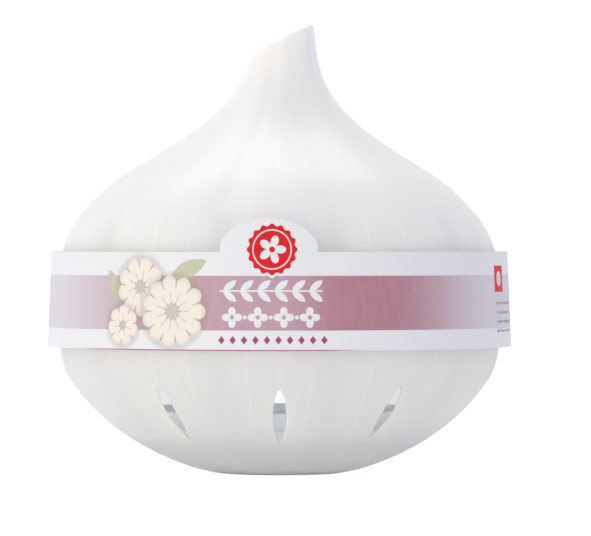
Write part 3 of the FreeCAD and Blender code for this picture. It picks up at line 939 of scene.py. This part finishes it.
class KEEPER_OT_rack(bpy.types.Operator):
    """Make the slotted rack that stands on the bowl's sloping wall"""

    bl_idname = "keeper.rack"
    bl_label = "Rack"

    def execute(self, context):
        sizes = context.scene.keeper_tray
        low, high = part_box("vent_tray")
        lip = high.x
        slope = (lip - sizes.foot_radius) / (high.z - low.z)
        half, end_steps = sizes.slot_width / 2, 4
        turns = [step / end_steps * math.pi / 2 for step in range(end_steps + 1)]
        places = [sizes.slot_start - half * math.cos(turn) for turn in turns]
        places += spaced(sizes.slot_start, sizes.slot_end, 8)[1:-1]
        places += [sizes.slot_end + half * math.sin(turn) for turn in turns]
        hub, edge = 6 * MM, 36 * MM
        top, under = sizes.plate_top, sizes.plate_top - sizes.plate
        inner = sizes.foot_radius - sizes.wall
        outline = [(0, top), (hub, top)]
        outline += [(place, top) for place in places]
        outline += [(edge, top), (inner + slope * (top - low.z), top), (lip - sizes.wall, high.z),
                    (lip, high.z), (sizes.foot_radius, low.z), (inner, low.z),
                    (inner + slope * (under - low.z), under), (edge, under)]
        outline += [(place, under) for place in reversed(places)]
        outline += [(hub, under), (0, under)]
        bm = bmesh.new()
        turn_outline(bm, outline, sizes.slots * SLOT_COLUMNS)
        lips = []
        for slot in range(sizes.slots):
            lips += self.add_slot(bm, sizes, slot * math.tau / sizes.slots, places)
        bevel_edges(bm, [edge for edge in lips if edge.is_valid], offset=0.25 * MM, segments=2)
        piece = finish_piece("rack", bm, [rack_plastic()], "tray", "vent_tray")
        return {"FINISHED"}

    @staticmethod
    def add_slot(bm, sizes, azimuth, places):
        """Cut a slot with round ends through the plate. The skirt below it stays whole."""
        half = sizes.slot_width / 2
        below = sizes.plate_top - 2 * sizes.plate

        def half_width(point):
            out = math.hypot(point.x, point.y)
            if out < places[0] - NEAR or out > places[-1] + NEAR or point.z < below:
                return None
            off = max(sizes.slot_start - out, out - sizes.slot_end, 0)
            return math.sqrt(max(half ** 2 - off ** 2, 0))

        return open_slit(bm, azimuth, half_width, spread=math.radians(13))


class KEEPER_OT_sleeve(bpy.types.Operator):
    """Make the card sleeve with its round tab and its glued overlap behind"""

    bl_idname = "keeper.sleeve"
    bl_label = "Card sleeve"

    def execute(self, context):
        sizes = context.scene.keeper_sleeve
        low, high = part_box("card_sleeve")
        bm = bmesh.new()
        flare = (sizes.low_radius - sizes.high_radius) / (sizes.edge - low.z)

        def radius_at(level):
            return sizes.low_radius - flare * (level - low.z) + sizes.card / 2

        levels = spaced(low.z, sizes.edge, 6)
        turn_outline(bm, [(radius_at(level), level) for level in levels], SLEEVE_COLUMNS)
        self.raise_tab(bm, sizes, high.z - sizes.edge, radius_at)
        self.add_lap(bm, sizes, levels, radius_at)
        bmesh.ops.recalc_face_normals(bm, faces=bm.faces)
        bmesh.ops.solidify(bm, geom=bm.faces[:], thickness=sizes.card)
        card = printed_card(low.z, radius_at(low.z) - sizes.card / 2, flare)
        piece = finish_piece("sleeve_card", bm, [card], "sleeve", "card_sleeve")
        return {"FINISHED"}

    @staticmethod
    def raise_tab(bm, sizes, rise, radius_at):
        """Grow the round tab from the band's upper edge in front."""
        def from_middle(vert):
            return (vert.co.x - sizes.tab_place) / sizes.tab_half_width

        def at_tab(vert):
            return abs(vert.co.z - sizes.edge) < NEAR and vert.co.y < 0 and abs(from_middle(vert)) <= 1

        raised = [edge for edge in bm.edges if all(map(at_tab, edge.verts))]
        steps = 4
        for step in range(1, steps + 1):
            made = bmesh.ops.extrude_edge_only(bm, edges=raised)["geom"]
            raised = [each for each in made if isinstance(each, bmesh.types.BMEdge) and each.is_boundary
                      and all(vert in made for vert in each.verts)]
            for vert in {vert for edge in raised for vert in edge.verts}:
                level = sizes.edge + rise * math.sqrt(max(1 - from_middle(vert) ** 2, 0)) * step / steps
                place_round(vert, radius_at(level), azimuth_of(vert.co))
                vert.co.z = level
            raised = [edge for edge in raised if abs(edge.verts[0].co.x - edge.verts[1].co.x) > 1e-9]

    @staticmethod
    def add_lap(bm, sizes, levels, radius_at):
        """The card's outer end lies on the inner one behind, a little sunk so that no gap shows."""
        tag_all(bm)
        verts, edges = add_profile(bm, [(0, radius_at(level), level) for level in levels])
        bmesh.ops.rotate(bm, verts=verts, cent=(0, 0, 0), matrix=Matrix.Rotation(-sizes.lap / 2, 3, "Z"))
        spin_about_axis(bm, verts + edges, sizes.lap, steps=56)
        for vert in untagged(bm):
            place_round(vert, radius_at(vert.co.z) + 0.95 * sizes.card, azimuth_of(vert.co))


class KEEPER_OT_stage(bpy.types.Operator):
    """Make the pale floor, the soft lights, the white surroundings and the camera"""

    bl_idname = "keeper.stage"
    bl_label = "Studio"

    def execute(self, context):
        scene = context.scene
        scene.view_settings.view_transform = "Standard"
        self.add_floor()
        self.add_world(scene)
        middle = (0, 0, 60 * MM)
        add_lamp("side", (-0.78, -0.92, 0.2), middle, (0.6, 0.4), 3.1, (1.0, 0.95, 0.63))
        add_lamp("top", (-0.1, 0.5, 1.05), middle, (1.0, 0.35), 5.8, (1.0, 0.98, 0.98))
        self.add_table_light()
        self.add_camera(scene)
        return {"FINISHED"}

    @staticmethod
    def add_floor():
        """A pale floor that glows for the camera, to meet the white behind it."""
        bm = bmesh.new()
        bmesh.ops.create_grid(bm, x_segments=2, y_segments=2, size=30)
        mesh = bpy.data.meshes.new("floor")
        bm.to_mesh(mesh)
        bm.free()
        floor = add_object("floor", mesh)
        finish = Finish("pale_floor")
        finish.surface({"Base Color": (1, 1, 1), "Roughness": 0.9})
        glow = finish.node("ShaderNodeEmission", inputs={"Color": (1, 1, 1), "Strength": 1.25})
        cloud = finish.noise(3, 2) * 0.02
        finish.blend_in(finish.rays("Camera") * (0.72 + cloud), glow)
        mesh.materials.append(finish.material)

    @staticmethod
    def add_world(scene):
        """White where it is seen or mirrored, and a pale blue light elsewhere."""
        world = bpy.data.worlds.new("studio")
        scene.world = world
        world.use_nodes = True
        nodes = Nodes(world.node_tree)
        seen = nodes.rays("Camera").most(nodes.rays("Glossy")).most(nodes.rays("Transmission"))
        colour = nodes.mix(seen, (0.78, 0.78, 0.87), (1, 1, 1))
        nodes.put(nodes.tree.nodes["Background"].inputs["Color"], colour)

    @staticmethod
    def add_table_light():
        """The light that a white table throws back up beside the keeper."""
        x, y = -0.18, -0.05
        lamp = add_lamp("table", (x, y, 0.0005), (x, y, 1), (0.5, 0.5), 0.18, (1, 1, 1))
        lamp.visible_camera = False

    @staticmethod
    def add_camera(scene):
        """A long lens, level with the lid's lower half."""
        data = bpy.data.cameras.new("camera")
        data.lens = 290
        data.sensor_width = 36
        data.shift_x = 0.0271
        data.shift_y = -0.0409
        camera = add_object("camera", data)
        camera.location = (0, -1.25, 0.06)
        camera.rotation_euler = (math.pi / 2, 0, 0)
        scene.camera = camera


def add_lamp(name, place, target, size, power, colour):
    """A soft rectangular lamp at a place, aimed at a target."""
    data = bpy.data.lights.new(name, "AREA")
    data.shape = "RECTANGLE"
    data.size, data.size_y = size
    data.energy = power
    data.color = colour
    lamp = add_object(name, data)
    lamp.location = place
    lamp.rotation_euler = (Vector(target) - Vector(place)).to_track_quat("-Z", "Y").to_euler()
    return lamp


class KEEPER_PT_pieces(bpy.types.Panel):
    """The garlic keeper's pieces"""

    bl_label = "Garlic keeper"
    bl_idname = "KEEPER_PT_pieces"
    bl_space_type = "VIEW_3D"
    bl_region_type = "UI"
    bl_category = "Garlic keeper"

    def draw(self, context):
        for operator in OPERATORS:
            self.layout.operator(operator.bl_idname)


GROUPS = {"keeper_bulb": BulbSizes, "keeper_tray": TraySizes, "keeper_sleeve": SleeveSizes,
          "keeper_finishes": Finishes}
OPERATORS = (KEEPER_OT_lid, KEEPER_OT_bowl, KEEPER_OT_rack, KEEPER_OT_sleeve, KEEPER_OT_stage)


def register():
    for name, group in GROUPS.items():
        bpy.utils.register_class(group)
        setattr(bpy.types.Scene, name, bpy.props.PointerProperty(type=group))
    for each in (*OPERATORS, KEEPER_PT_pieces):
        bpy.utils.register_class(each)


def unregister():
    for each in (KEEPER_PT_pieces, *reversed(OPERATORS)):
        bpy.utils.unregister_class(each)
    for name, group in GROUPS.items():
        delattr(bpy.types.Scene, name)
        bpy.utils.unregister_class(group)


def main():
    register()
    bpy.ops.keeper.lid()
    bpy.ops.keeper.bowl()
    bpy.ops.keeper.rack()
    bpy.ops.keeper.sleeve()
    bpy.ops.keeper.stage()


if __name__ == "__main__":
    main()
